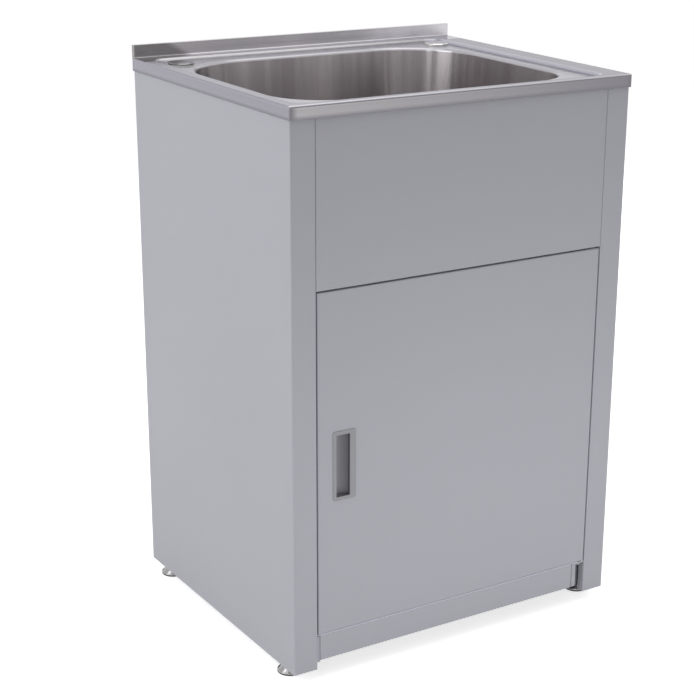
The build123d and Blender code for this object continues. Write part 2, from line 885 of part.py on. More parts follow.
# name, bottom and top of the bush's flange, far end of its body inside the door
bush_ends = [
    ("lower", lower_bush_bottom, door_bottom, door_bottom + bush_length),
    ("upper", door_top, upper_bush_top, door_top - bush_length),
]
for name, bush_flange_bottom, bush_flange_top, bush_end in bush_ends:
    with BuildPart() as hinge_bush:
        bore = pin_radius + pin_fit
        add(
            upright(
                bush_flange_radius, bush_flange_bottom, bush_flange_top, hinge_x, hinge_y, bore
            )
        )
        bush_start = bush_flange_top if bush_end > bush_flange_top else bush_flange_bottom
        add(upright(bush_radius, bush_start, bush_end, hinge_x, hinge_y, bore))
    save(hinge_bush, f"hinge_bush_{name}")

# ---------------------------------------------------------------- door
handle_right_x = handle_left_x + handle_width
handle_top = handle_bottom + handle_height
handle_x = (handle_left_x + handle_right_x) / 2
handle_z = (handle_bottom + handle_top) / 2
pocket_x = handle_x - handle_pocket_shift
pocket_width = handle_width - 2 * handle_rim_x
pocket_height = handle_height - 2 * handle_rim_z
handle_face = cabinet_front - handle_flange_thickness
pocket_floor = handle_face + handle_depth
cup_width = pocket_width + 2 * handle_wall
cup_height = pocket_height + 2 * handle_wall

with BuildPart() as door_skin:
    add(
        block(
            (-door_x, door_x),
            (cabinet_front, door_back),
            (door_bottom, door_top),
        )
    )
    fillet(door_skin.faces().sort_by(Axis.Y)[0].edges(), door_fold)
    offset(amount=-cabinet_sheet, openings=door_skin.faces().sort_by(Axis.Y)[-1])
    with BuildSketch(Plane.XZ.offset(-cabinet_front)) as handle_cutout:
        with Locations((pocket_x, handle_z)):
            RectangleRounded(
                cup_width + 2 * handle_fit,
                cup_height + 2 * handle_fit,
                handle_pocket_corner + handle_wall,
            )
    extrude(amount=-2 * cabinet_sheet, mode=Mode.SUBTRACT)
    bush_hole_depth = cabinet_sheet + door_fold
    for height in (door_bottom + bush_hole_depth, door_top):
        with Locations((hinge_x, hinge_y, height)):
            Hole(bush_radius + pin_fit, bush_hole_depth)
save(door_skin, "door_skin")

inner_x = door_x - cabinet_sheet - pin_fit
with BuildPart() as door_inner_panel:
    add(
        block(
            (-inner_x, inner_x),
            (door_back - inner_panel_flange, door_back),
            (door_bottom + cabinet_sheet + pin_fit, door_top - cabinet_sheet - pin_fit),
        )
    )
    fillet(door_inner_panel.faces().sort_by(Axis.Y)[-1].edges(), bend)
    offset(amount=-cabinet_sheet, openings=door_inner_panel.faces().sort_by(Axis.Y)[0])
save(door_inner_panel, "door_inner_panel")

with BuildPart() as handle_cup:
    with BuildSketch(Plane.XZ.offset(-handle_face)):
        with Locations((handle_x, handle_z)):
            RectangleRounded(handle_width, handle_height, handle_corner)
    extrude(amount=-handle_flange_thickness)
    fillet(handle_cup.edges().group_by(Axis.Y)[0], handle_edge)
    with BuildSketch(Plane.XZ.offset(-cabinet_front)):
        with Locations((pocket_x, handle_z)):
            RectangleRounded(cup_width, cup_height, handle_pocket_corner + handle_wall)
    extrude(amount=handle_flange_thickness - handle_depth - handle_wall)
    # the finger pocket is deepest under its left lip and scoops up to the right
    with BuildSketch(Plane.XY.offset(handle_z - pocket_height / 2)):
        with BuildLine():
            Polyline(
                (pocket_x + pocket_width / 2, pocket_floor - handle_scoop),
                (pocket_x + pocket_width / 2, handle_face),
                (pocket_x - pocket_width / 2, handle_face),
                (pocket_x - pocket_width / 2, pocket_floor),
                (pocket_x - pocket_width / 4, pocket_floor),
            )
            TangentArc(
                (pocket_x - pocket_width / 4, pocket_floor),
                (pocket_x + pocket_width / 2, pocket_floor - handle_scoop),
                tangent=(1, 0),
            )
        make_face()
    extrude(amount=pocket_height, mode=Mode.SUBTRACT)
save(handle_cup, "handle_cup")

with BuildPart() as strike_plate:
    strike_top = door_top - strike_drop
    add(
        block(
            (catch_x - strike_width / 2, catch_x + strike_width / 2),
            (door_back, door_back + strike_thickness),
            (strike_top - strike_height, strike_top),
        )
    )
    fillet(strike_plate.edges().filter_by(Axis.Y), strike_drop)
save(strike_plate, "strike_plate")

# ---------------------------------------------------------------- catch and stop
catch_front = door_back + strike_thickness + closed_gap
catch_bottom = fascia_bottom - catch_height
magnet_middle = catch_bottom + catch_height / 2
magnet_x = (catch_x - magnet_width / 2, catch_x + magnet_width / 2)
magnet_y = (catch_front, catch_front + magnet_depth)
magnet_z = (magnet_middle - magnet_height / 2, magnet_middle + magnet_height / 2)

with BuildPart() as catch_body:
    add(
        block(
            (catch_x - catch_width / 2, catch_x + catch_width / 2),
            (catch_front, catch_front + catch_depth),
            (catch_bottom, fascia_bottom),
        )
    )
    fillet(catch_body.edges().filter_by(Axis.Z), bend)
    add(block(magnet_x, magnet_y, magnet_z), mode=Mode.SUBTRACT)
save(catch_body, "catch_body")

with BuildPart() as catch_magnet:
    add(block(magnet_x, magnet_y, magnet_z))
save(catch_magnet, "catch_magnet")

stop_outer_x = -opening_x - 2 * cabinet_sheet
stop_back = door_back + closed_gap + bumper_thickness + cabinet_sheet
stop_bottom = base_height + stop_end_margin
stop_top = fascia_bottom - stop_end_margin
with BuildPart() as door_stop_strip:
    stop_points = [
        (stop_outer_x, cabinet_front + bend + cabinet_sheet),
        (stop_outer_x, stop_back),
        (stop_outer_x + stop_width, stop_back),
    ]
    extrude(
        fold_section(Plane.XY.offset(stop_bottom), stop_points, Side.RIGHT),
        amount=stop_top - stop_bottom,
    )
save(door_stop_strip, "door_stop_strip")

bumper_x = stop_outer_x + stop_width - bumper_radius - cabinet_sheet
bumper_back = stop_back - cabinet_sheet
with BuildPart() as door_bumpers:
    for height in (stop_bottom + bumper_margin, stop_top - bumper_margin):
        with Locations(Plane((bumper_x, bumper_back, height), z_dir=(0, -1, 0))):
            Cylinder(
                bumper_radius, bumper_thickness, align=(Align.CENTER, Align.CENTER, Align.MIN)
            )
save(door_bumpers, "door_bumpers")

# ---------------------------------------------------------------- small fasteners


def rivet(start, direction, grip, far_head=rivet_head_height):
    """A blind rivet through a grip of sheet, with a flat head on each side."""
    with BuildPart() as fastener:
        with Locations(Plane(start, z_dir=direction)):
            Cylinder(rivet_radius, grip, align=(Align.CENTER, Align.CENTER, Align.MIN))
            Cylinder(
                rivet_head_radius,
                rivet_head_height,
                align=(Align.CENTER, Align.CENTER, Align.MAX),
            )
            with Locations((0, 0, grip)):
                Cylinder(
                    rivet_head_radius, far_head, align=(Align.CENTER, Align.CENTER, Align.MIN)
                )
    return fastener.part


with BuildPart() as fascia_rivets:
    fascia_grip = fascia_seam + 2 * cabinet_sheet
    for side in (-1, 1):
        for height in fascia_rivet_heights:
            rivet_start = (side * (fascia_x - cabinet_sheet), fascia_rivet_y, height)
            add(rivet(rivet_start, (side, 0, 0), fascia_grip))
save(fascia_rivets, "fascia_rivets")

with BuildPart() as rail_rivets:
    for rail_bottom, rail_top in rail_spans.values():
        for height in (rail_bottom + rail_rivet_margin, rail_top - rail_rivet_margin):
            for x in (-rail_rivet_x, rail_rivet_x):
                add(rivet((x, rail_inside, height), (0, 1, 0), 2 * cabinet_sheet))
save(rail_rivets, "rail_rivets")

with BuildPart() as kick_rivets:
    for x, y in kick_rivet_places:
        rivet_start = (x, y, base_underside - cabinet_sheet)
        add(rivet(rivet_start, (0, 0, 1), 2 * cabinet_sheet, rivet_low_head))
save(kick_rivets, "kick_rivets")

tub_stud_places = [
    (x, y) for x in (-tub_stud_x, tub_stud_x) for y in (tub_stud_front_y, tub_stud_rear_y)
]
with BuildPart() as tub_studs:
    for x, y in tub_stud_places:
        add(upright(tub_stud_radius, under_rim - tub_stud_length, under_rim, x, y))
save(tub_studs, "tub_studs")

with BuildPart() as tub_nuts:
    stud_nut_top = panel_top - cabinet_sheet
    stud_bore = tub_stud_radius + pin_fit
    for x, y in tub_stud_places:
        add(
            hexagon(
                tub_nut_across_flats,
                stud_nut_top - tub_nut_height,
                stud_nut_top,
                x,
                y,
                stud_bore,
            )
        )
save(tub_nuts, "tub_nuts")
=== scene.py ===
"""Looks of the utility laundry sink: a pressed stainless tub on a powder-coated steel cabinet."""

import json
import math

import bmesh
import bpy
from mathutils import Matrix, Vector


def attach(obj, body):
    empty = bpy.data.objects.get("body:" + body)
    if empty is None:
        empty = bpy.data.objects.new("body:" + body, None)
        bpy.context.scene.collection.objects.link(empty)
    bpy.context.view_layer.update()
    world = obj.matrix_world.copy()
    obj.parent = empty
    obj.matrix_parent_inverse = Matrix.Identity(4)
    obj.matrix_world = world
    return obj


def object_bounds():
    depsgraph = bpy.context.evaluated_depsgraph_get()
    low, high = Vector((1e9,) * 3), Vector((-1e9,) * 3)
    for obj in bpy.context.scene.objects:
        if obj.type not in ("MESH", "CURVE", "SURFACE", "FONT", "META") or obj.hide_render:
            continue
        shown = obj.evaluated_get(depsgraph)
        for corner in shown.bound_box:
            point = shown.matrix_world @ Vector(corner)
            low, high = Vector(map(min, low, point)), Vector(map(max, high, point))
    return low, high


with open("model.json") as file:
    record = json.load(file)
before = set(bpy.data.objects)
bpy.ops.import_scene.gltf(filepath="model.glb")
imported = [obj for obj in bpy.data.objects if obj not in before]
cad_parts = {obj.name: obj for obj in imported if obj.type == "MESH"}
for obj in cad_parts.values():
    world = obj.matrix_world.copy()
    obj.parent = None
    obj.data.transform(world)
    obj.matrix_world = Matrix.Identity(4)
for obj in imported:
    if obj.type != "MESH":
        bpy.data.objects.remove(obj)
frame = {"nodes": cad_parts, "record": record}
cad_low, cad_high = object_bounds()
nodes = frame["nodes"]

# ---------------------------------------------------------------- photograph's view
PHOTO_PIXELS = 694
SENSOR_MM = 36.0
FOCAL_PIXELS = 1695.0
PRINCIPAL_X = 405.3  # pixel of the optical axis, from the left
PRINCIPAL_Y = 388.8  # pixel of the optical axis, from the top
CAMERA_PLACE = Vector((-1.4137, -2.2422, 1.2746))
CAMERA_YAW = math.radians(33.3)
CAMERA_PITCH = math.radians(19.25)
CAMERA_ROLL = math.radians(0.79)
CAMERA_REACH = 50.0


def add_camera():
    """The camera stands front left of the sink and looks a little down on it."""
    forward = Vector(
        (
            math.sin(CAMERA_YAW) * math.cos(CAMERA_PITCH),
            math.cos(CAMERA_YAW) * math.cos(CAMERA_PITCH),
            -math.sin(CAMERA_PITCH),
        )
    )
    level_right = Vector((math.cos(CAMERA_YAW), -math.sin(CAMERA_YAW), 0))
    level_up = level_right.cross(forward)
    right = level_right * math.cos(CAMERA_ROLL) + level_up * math.sin(CAMERA_ROLL)
    up = right.cross(forward)
    camera_data = bpy.data.cameras.new("camera")
    camera_data.sensor_width = SENSOR_MM
    camera_data.lens = FOCAL_PIXELS * SENSOR_MM / PHOTO_PIXELS
    camera_data.shift_x = 0.5 - PRINCIPAL_X / PHOTO_PIXELS
    camera_data.shift_y = PRINCIPAL_Y / PHOTO_PIXELS - 0.5
    camera_data.clip_end = CAMERA_REACH
    camera = bpy.data.objects.new("camera", camera_data)
    turn = Matrix((right, up, -forward)).transposed().to_4x4()
    camera.matrix_world = Matrix.Translation(CAMERA_PLACE) @ turn
    bpy.context.scene.collection.objects.link(camera)
    bpy.context.scene.camera = camera


# ---------------------------------------------------------------- node helpers
FLOAT = "NodeSocketFloat"
COLOR = "NodeSocketColor"
VECTOR = "NodeSocketVector"
SOCKET_KINDS = {"VALUE": FLOAT, "RGBA": COLOR, "VECTOR": VECTOR}
MIX_SOCKETS = {"FLOAT": (2, 0), "VECTOR": (4, 1), "RGBA": (6, 2)}  # first input, then result


def feed(tree, socket, value):
    """Links another socket to an input, or sets the input to a plain value."""
    if isinstance(value, bpy.types.NodeSocket):
        tree.links.new(value, socket)
    else:
        socket.default_value = value


def put(tree, kind, links=None, **settings):
    """Adds a node, sets its properties and feeds its inputs by name or number."""
    node = tree.nodes.new(kind)
    for name, value in settings.items():
        setattr(node, name, value)
    for name, value in (links or {}).items():
        feed(tree, node.inputs[name], value)
    return node


def new_group(name, inputs):
    """A shader group with named inputs, and the sockets that hand them in."""
    group = bpy.data.node_groups.new(name, "ShaderNodeTree")
    for socket_name, kind, value in inputs:
        socket = group.interface.new_socket(socket_name, in_out="INPUT", socket_type=kind)
        socket.default_value = value
    return group, group.nodes.new("NodeGroupInput").outputs


def close_group(group, results):
    """Gives a shader group its named outputs."""
    for name, socket in results.items():
        kind = SOCKET_KINDS[socket.type]
        group.interface.new_socket(name, in_out="OUTPUT", socket_type=kind)
    leave = group.nodes.new("NodeGroupOutput")
    for name, socket in results.items():
        group.links.new(socket, leave.inputs[name])
    return group


def use_group(tree, group, **values):
    """Places a shader group in a tree, feeds its inputs by name and returns its outputs."""
    node = tree.nodes.new("ShaderNodeGroup")
    node.node_tree = group
    for name, value in values.items():
        feed(tree, node.inputs[name.replace("_", " ")], value)
    return node.outputs


def calc(tree, operation, *values, **settings):
    """One step of arithmetic with numbers."""
    links = dict(enumerate(values))
    return put(tree, "ShaderNodeMath", links, operation=operation, **settings).outputs[0]


def vector_calc(tree, operation, *values):
    """One step of arithmetic with vectors."""
    node = put(tree, "ShaderNodeVectorMath", dict(enumerate(values)), operation=operation)
    return node.outputs["Value" if operation == "DOT_PRODUCT" else "Vector"]


def scaled(tree, vector, share):
    """A vector or colour times a number."""
    links = {0: vector, "Scale": share}
    return put(tree, "ShaderNodeVectorMath", links, operation="SCALE").outputs["Vector"]


def mix(tree, share, first, second, data_type="RGBA", **settings):
    """Mixes two colours, numbers or vectors by a share."""
    start, result = MIX_SOCKETS[data_type]
    links = {0: share, start: first, start + 1: second}
    return put(tree, "ShaderNodeMix", links, data_type=data_type, **settings).outputs[result]


def ramp(tree, value, start, end, first=0.0, last=1.0):
    """Runs from a first to a last number while the value runs from its start to its end."""
    links = {0: value, 1: start, 2: end, 3: first, 4: last}
    return put(tree, "ShaderNodeMapRange", links).outputs[0]


def noise(tree, vector, scale, detail, roughness=0.5):
    """Smooth noise between nought and one."""
    links = {"Vector": vector, "Scale": scale, "Detail": detail, "Roughness": roughness}
    return put(tree, "ShaderNodeTexNoise", links).outputs["Fac"]


def vector_of(tree, x=0.0, y=0.0, z=0.0):
    """A vector from its three parts."""
    return put(tree, "ShaderNodeCombineXYZ", {"X": x, "Y": y, "Z": z}).outputs[0]


def parts_of(tree, vector):
    """The three parts of a vector."""
    outputs = put(tree, "ShaderNodeSeparateXYZ", {0: vector}).outputs
    return [outputs[axis] for axis in "XYZ"]


def own_place(tree):
    """The place on the sink at rest, in metres."""
    return put(tree, "ShaderNodeTexCoord").outputs["Object"]


def own_normal(tree):
    """The way the surface faces."""
    return put(tree, "ShaderNodeNewGeometry").outputs["Normal"]


def is_flat(tree, least):
    """One where the surface faces up or down by more than a share, nought elsewhere."""
    facing_up = parts_of(tree, own_normal(tree))[2]
    return calc(tree, "GREATER_THAN", calc(tree, "ABSOLUTE", facing_up), least)


def opaque(tone):
    """A tone of three numbers as a colour. A socket stays as it is."""
    return tone if isinstance(tone, bpy.types.NodeSocket) else (*tone, 1)


def blend_tones(tree, share, first, second):
    """Mixes two tones, each a colour socket or three numbers, by a share."""
    return mix(tree, share, opaque(first), opaque(second))


# ---------------------------------------------------------------- shader groups
# areas of the steel top, in metres from the middle of the sink's footprint and from the floor
BOWL_REACH_X = 0.285
BOWL_REACH_Y = 0.235
BOWL_MIDDLE = (-0.013, -0.0055, 0.75)
BOWL_MOUTH = 0.8715  # where the bowl's lip turns down
BOWL_MOUTH_FADE = 0.003  # height over which the bowl's tones set in
LIP_TOP = 0.8739
RECESS_FLOOR_TOP = 0.8752
REAR_WALLS = 0.203  # in front of the recess's rear wall and the upstand
RIGHT_WALL = 0.2435  # beyond the bowl's lip, before the recess's right wall
RIM_TOP = 0.8803
RIM_DEPTH = 0.001
UPSTAND_TOP = 0.9
FRONT_EDGE = -0.2515
FRONT_CORNER = -0.25  # in front of this the rim rolls over into the front edge
SIDE_EDGE = 0.2985
EDGE_SHADE_LINE = (0.8768, 0.8785)  # heights of the painted dark line, a painted reflection, under the front edge's bright corner
EDGE_FOOT_SHADE = (0.86, 0.866)  # heights over which the folded edges get painted shade downwards
EDGE_FOOT_SHADE_SHARE = 0.9
EDGE_END_SHADE = (0.287, 0.297)  # where the front edge gets painted shade towards its corners
LEFT_END_SHADE = (0.09, 0.12)  # shares of the way along where the painted dark reflection at the upstand's left end fades out
LEFT_END_SHADE_SLANT = 2.75  # how far the fade moves right for each metre downwards, in such shares

# parts of the normal over which a mask sets in
WALL_FACING = (-0.1, -0.4)
BOWL_FLOOR_FACING = (0.5, 0.95)
LIP_FACING = (0.97, 0.9)

# how much of a normal points up or down where a surface counts as flat
GRAIN_FLAT = 0.7  # for the run of the brush strokes
SHINE_FLAT = 0.9  # for the way their shine spreads

BAND_STRETCH = (22.0, 22.0, 0.5)  # bands of painted reflection in a metre, round the bowl's wall and up it
DUST_REACH = 0.12  # height over which dust thins out
DUST_ABOVE = 0.25  # share of it that is left higher up

FEET_MIDDLE = (0, 0.002, 0)
FEET_REACH = (0.28, 0.2055, 0)  # from there to each foot's axis

# boxes of painted shade and painted light: low corner, high corner, share of the colour at the
# left and at the right
# painted shade deep in the handle's pocket, darker to the right
HANDLE_POCKET_SHADE = ((-0.2275, -0.2485, 0.28), (-0.2, -0.23, 0.4), 1.0, 0.27)
# painted shadow round the edges of the handle's plate
HANDLE_EDGE_SHADOW = ((-0.2315, -0.2497, 0.2865), (-0.191, -0.2478, 0.3975), 0.35, 0.7)
# painted light on the walls of the kick's notch
KICK_NOTCH_LIGHT = ((0.242, -0.2485, 0.01), (0.2585, -0.22, 0.0745), 1.4, 1.05)
# painted shadow line beside the kick's right end
KICK_STEP_SHADOW = ((0.2329, -0.2485, 0.01), (0.2349, -0.24, 0.0724), 0.45, 0.6)
# painted light in the gap under the door
DOOR_GAP_LIGHT = ((-0.256, -0.2489, 0.0715), (0.256, -0.2455, 0.0737), 1.85, 1.85)
# painted light on the fold at the door's foot
DOOR_FOLD_LIGHT = ((-0.256, -0.2489, 0.0737), (0.256, -0.2455, 0.0752), 1.2, 1.2)


def brushed_grain_group():
    """Long fine scratches that run level on upright walls and left to right on flat ones."""
    group, given = new_group(
        "brushed grain",
        [
            ("along", FLOAT, 7.0),
            ("across", FLOAT, 1300.0),
            ("base roughness", FLOAT, 0.3),
            ("roughness spread", FLOAT, 0.1),
        ],
    )
    along, across = given["along"], given["across"]
    upright = vector_of(group, along, along, across)
    flat = vector_of(group, along, across, along)
    stretch = mix(group, is_flat(group, GRAIN_FLAT), upright, flat, "VECTOR")
    stretched = vector_calc(group, "MULTIPLY", own_place(group), stretch)
    fine = noise(group, stretched, scale=1.0, detail=3.0, roughness=0.6)
    broad = noise(group, stretched, scale=0.17, detail=2.0)
    centred = calc(group, "SUBTRACT", calc(group, "ADD", fine, broad), 1.0)
    base, spread = given["base roughness"], given["roughness spread"]
    roughness = calc(group, "MULTIPLY_ADD", centred, spread, base, use_clamp=True)
    return close_group(group, {"height": fine, "roughness": roughness, "streak": broad})


def powder_texture_group():
    """The fine orange peel of a baked powder coat, with a faint unevenness of its colour."""
    group, given = new_group(
        "powder texture",
        [
            ("colour", COLOR, (0.5, 0.5, 0.5, 1)),
            ("shade", COLOR, (0.4, 0.4, 0.4, 1)),
            ("peel scale", FLOAT, 900.0),
        ],
    )
    place = own_place(group)
    peel = noise(group, place, scale=given["peel scale"], detail=2.0, roughness=0.55)
    cloud = noise(group, place, scale=3.0, detail=3.0)
    both = mix(group, share=0.35, first=cloud, second=peel, data_type="FLOAT")
    tone = mix(group, both, given["shade"], given["colour"])
    roughness = ramp(group, both, start=0.3, end=0.7, first=0.42, last=0.56)
    return close_group(group, {"colour": tone, "height": peel, "roughness": roughness})


def handling_marks_group():
    """Faint smudges and dust, stronger low down near the floor."""
    group, given = new_group(
        "handling marks",
        [
            ("colour", COLOR, (0.5, 0.5, 0.5, 1)),
            ("dust", COLOR, (0.42, 0.4, 0.37, 1)),
            ("amount", FLOAT, 0.2),
        ],
    )
    place = own_place(group)
    height = parts_of(group, place)[2]
    low = ramp(group, height, start=0.0, end=DUST_REACH, first=1.0, last=DUST_ABOVE)
    smudge = noise(group, place, scale=14.0, detail=6.0, roughness=0.7)
    spots = ramp(group, smudge, start=0.5, end=0.75)
    marked = calc(group, "MULTIPLY", spots, low)
    marked = calc(group, "MULTIPLY", marked, given["amount"], use_clamp=True)
    return close_group(group, {"colour": mix(group, marked, given["colour"], given["dust"])})


def top_regions_group():
    """Masks of the steel top's areas and of its painted shade and highlight, and the way from its
    left to its right end.
    """
    group, _ = new_group("top regions", [])

    def times(first, second):
        return calc(group, "MULTIPLY", first, second)

    def minus(first, second):
        return calc(group, "SUBTRACT", first, second)

    def over(value, least):
        return calc(group, "GREATER_THAN", value, least)

    def under(value, most):
        return calc(group, "LESS_THAN", value, most)

    place, normal = own_place(group), own_normal(group)
    x, y, z = parts_of(group, place)
    facing_x, facing_y, facing_z = parts_of(group, normal)
    out_x, out_y = calc(group, "ABSOLUTE", x), calc(group, "ABSOLUTE", y)

    inside = times(under(out_x, BOWL_REACH_X), under(out_y, BOWL_REACH_Y))
    bowl = times(inside, ramp(group, z, BOWL_MOUTH - BOWL_MOUTH_FADE, BOWL_MOUTH, 1.0, 0.0))
    from_middle = vector_calc(group, "SUBTRACT", place, BOWL_MIDDLE)
    outward = vector_calc(group, "DOT_PRODUCT", from_middle, normal)
    bowl_outside = times(bowl, over(outward, 0.0))
    bowl_inside = minus(bowl, bowl_outside)
    bowl_floor = times(bowl_inside, ramp(group, facing_z, *BOWL_FLOOR_FACING))

    recess = minus(inside, bowl)
    curled = ramp(group, facing_z, *LIP_FACING)
    lip = times(times(recess, curled), under(z, LIP_TOP))
    recess_floor = times(times(recess, minus(1.0, curled)), under(z, RECESS_FLOOR_TOP))

    at_rear = over(y, REAR_WALLS)
    over_rim = over(z, RIM_TOP)
    upstand = times(at_rear, over_rim)
    rear_wall = times(minus(at_rear, upstand), ramp(group, facing_y, *WALL_FACING))
    at_right = times(over(x, RIGHT_WALL), inside)
    on_rim = minus(over(z, RIM_TOP - RIM_DEPTH), over_rim)

    front = under(y, FRONT_EDGE)
    side = over(out_x, SIDE_EDGE)
    line = times(over(z, EDGE_SHADE_LINE[0]), under(z, EDGE_SHADE_LINE[1]))
    dark_front = calc(group, "MAXIMUM", line, ramp(group, out_x, *EDGE_END_SHADE))
    foot = ramp(group, z, *EDGE_FOOT_SHADE, EDGE_FOOT_SHADE_SHARE, 0.0)

    along = ramp(group, x, cad_low.x, cad_high.x)
    slanted = minus(along, times(minus(UPSTAND_TOP, z), LEFT_END_SHADE_SLANT))
    return close_group(
        group,
        {
            "bowl walls": minus(bowl_inside, bowl_floor),
            "bowl floor": bowl_floor,
            "bowl outside": bowl_outside,
            "bowl lip": lip,
            "recess floor": recess_floor,
            "recess rear wall": times(rear_wall, inside),
            "recess right wall": times(at_right, ramp(group, facing_x, *WALL_FACING)),
            "rear strip": times(at_rear, on_rim),
            "upstand": upstand,
            "front edge": front,
            "side edge": side,
            "edge shade line": times(front, dark_front),
            # painted highlight on the front edge's rounded corner
            "edge shine": times(under(y, FRONT_CORNER), over(z, EDGE_SHADE_LINE[1])),
            "edge foot shade": times(calc(group, "MAXIMUM", front, side), foot),
            "way along": along,
            "left end shade": ramp(group, slanted, *LEFT_END_SHADE, 1.0, 0.0),
        },
    )


def reflection_bands_group():
    """Upright bands of painted reflection round the walls of a bowl, for the streaked shine of
    its brushed steel.
    """
    group, _ = new_group("reflection bands", [])
    stretched = vector_calc(group, "MULTIPLY", own_place(group), BAND_STRETCH)
    wave = noise(group, stretched, scale=1.0, detail=3.5, roughness=0.6)
    return close_group(group, {"band": ramp(group, wave, start=0.38, end=0.66)})


def box_shade_group():
    """Darkens or lightens what lies in a box, by one share at its left and one at its right."""
    group, given = new_group(
        "box shade",
        [
            ("colour", COLOR, (0.5, 0.5, 0.5, 1)),
            ("low corner", VECTOR, (0, 0, 0)),
            ("high corner", VECTOR, (1, 1, 1)),
            ("left share", FLOAT, 1.0),
            ("right share", FLOAT, 1.0),
        ],
    )
    spot = parts_of(group, own_place(group))
    low = parts_of(group, given["low corner"])
    high = parts_of(group, given["high corner"])
    inside = 1.0
    for larger, smaller in (*zip(spot, low), *zip(high, spot)):
        between = calc(group, "GREATER_THAN", larger, smaller)
        inside = calc(group, "MULTIPLY", inside, between)
    share = ramp(group, spot[0], low[0], high[0], given["left share"], given["right share"])
    shaded = scaled(group, given["colour"], share)
    return close_group(group, {"colour": mix(group, inside, given["colour"], shaded)})


def dome_lean_group():
    """Leans the normal away from the nearest foot's axis, as on a pressed dome."""
    group, given = new_group("dome lean", [("normal", VECTOR, (0, 0, 1)), ("lean", FLOAT, 30.0)])
    spot = vector_calc(group, "SUBTRACT", own_place(group), FEET_MIDDLE)
    axis = vector_calc(group, "MULTIPLY", vector_calc(group, "SIGN", spot), FEET_REACH)
    away = vector_calc(group, "SUBTRACT", spot, axis)
    level = vector_calc(group, "MULTIPLY", away, (1, 1, 0))
    leaned = vector_calc(group, "ADD", given["normal"], scaled(group, level, given["lean"]))
    return close_group(group, {"normal": vector_calc(group, "NORMALIZE", leaned)})


brushed_grain = brushed_grain_group()
powder_texture = powder_texture_group()
handling_marks = handling_marks_group()
top_regions = top_regions_group()
reflection_bands = reflection_bands_group()
box_shade = box_shade_group()
dome_lean = dome_lean_group()


# ---------------------------------------------------------------- materials
DUST_DARKNESS = 0.8  # dust on a metal fitting, as a share of the fitting's own tone
STREAK_CONTRAST = 0.14  # of the brushed steel's broad streaks
BOWL_ROUGHNESS = 0.215
REAR_STRIP_ROUGHNESS = 0.09
MOULDED_SPREAD = 0.06  # how far a moulding's roughness varies each way


def new_material(name):
    """A material with its node tree and its shader."""
    material = bpy.data.materials.new(name)
    material.use_nodes = True
    tree = material.node_tree
    return material, tree, tree.nodes["Principled BSDF"]


def set_bump(tree, shader, height, strength, distance):
    """Raises a height over the surface into the shader's normal."""
    links = {"Height": height, "Strength": strength, "Distance": distance}
    normal = put(tree, "ShaderNodeBump", links).outputs["Normal"]
    tree.links.new(normal, shader.inputs["Normal"])
    return normal


def shade_box(tree, colour, box):
    """Darkens or lightens a colour inside one box."""
    low, high, left, right = box
    shaded = use_group(
        tree,
        box_shade,
        colour=colour,
        low_corner=low,
        high_corner=high,
        left_share=left,
        right_share=right,
    )
    return shaded["colour"]


def metal(
    name,
    tone,
    streak_tone,
    roughness,
    spread,
    along,
    across,
    depth,
    marks=0.1,
    left=None,
    lean=0.0,
):
    """A bare metal fitting with a fine grain, with a painted reflection tone towards the left if
    given.
    """
    material, tree, shader = new_material(name)
    grain = use_group(
        tree,
        brushed_grain,
        along=along,
        across=across,
        base_roughness=roughness,
        roughness_spread=spread,
    )
    toned = blend_tones(tree, grain["streak"], streak_tone, tone)
    # painted reflection: the tone turns to the left one towards the sink's left end
    if left:
        toned = blend_tones(tree, use_group(tree, top_regions)["way along"], left, toned)
    dust = opaque([DUST_DARKNESS * channel for channel in tone])
    handled = use_group(tree, handling_marks, colour=toned, dust=dust, amount=marks)
    tree.links.new(handled["colour"], shader.inputs["Base Color"])
    tree.links.new(grain["roughness"], shader.inputs["Roughness"])
    shader.inputs["Metallic"].default_value = 1.0
    bump = set_bump(tree, shader, grain["height"], strength=0.25, distance=depth)
    if lean:
        domed = use_group(tree, dome_lean, normal=bump, lean=lean)
        tree.links.new(domed["normal"], shader.inputs["Normal"])
    return material


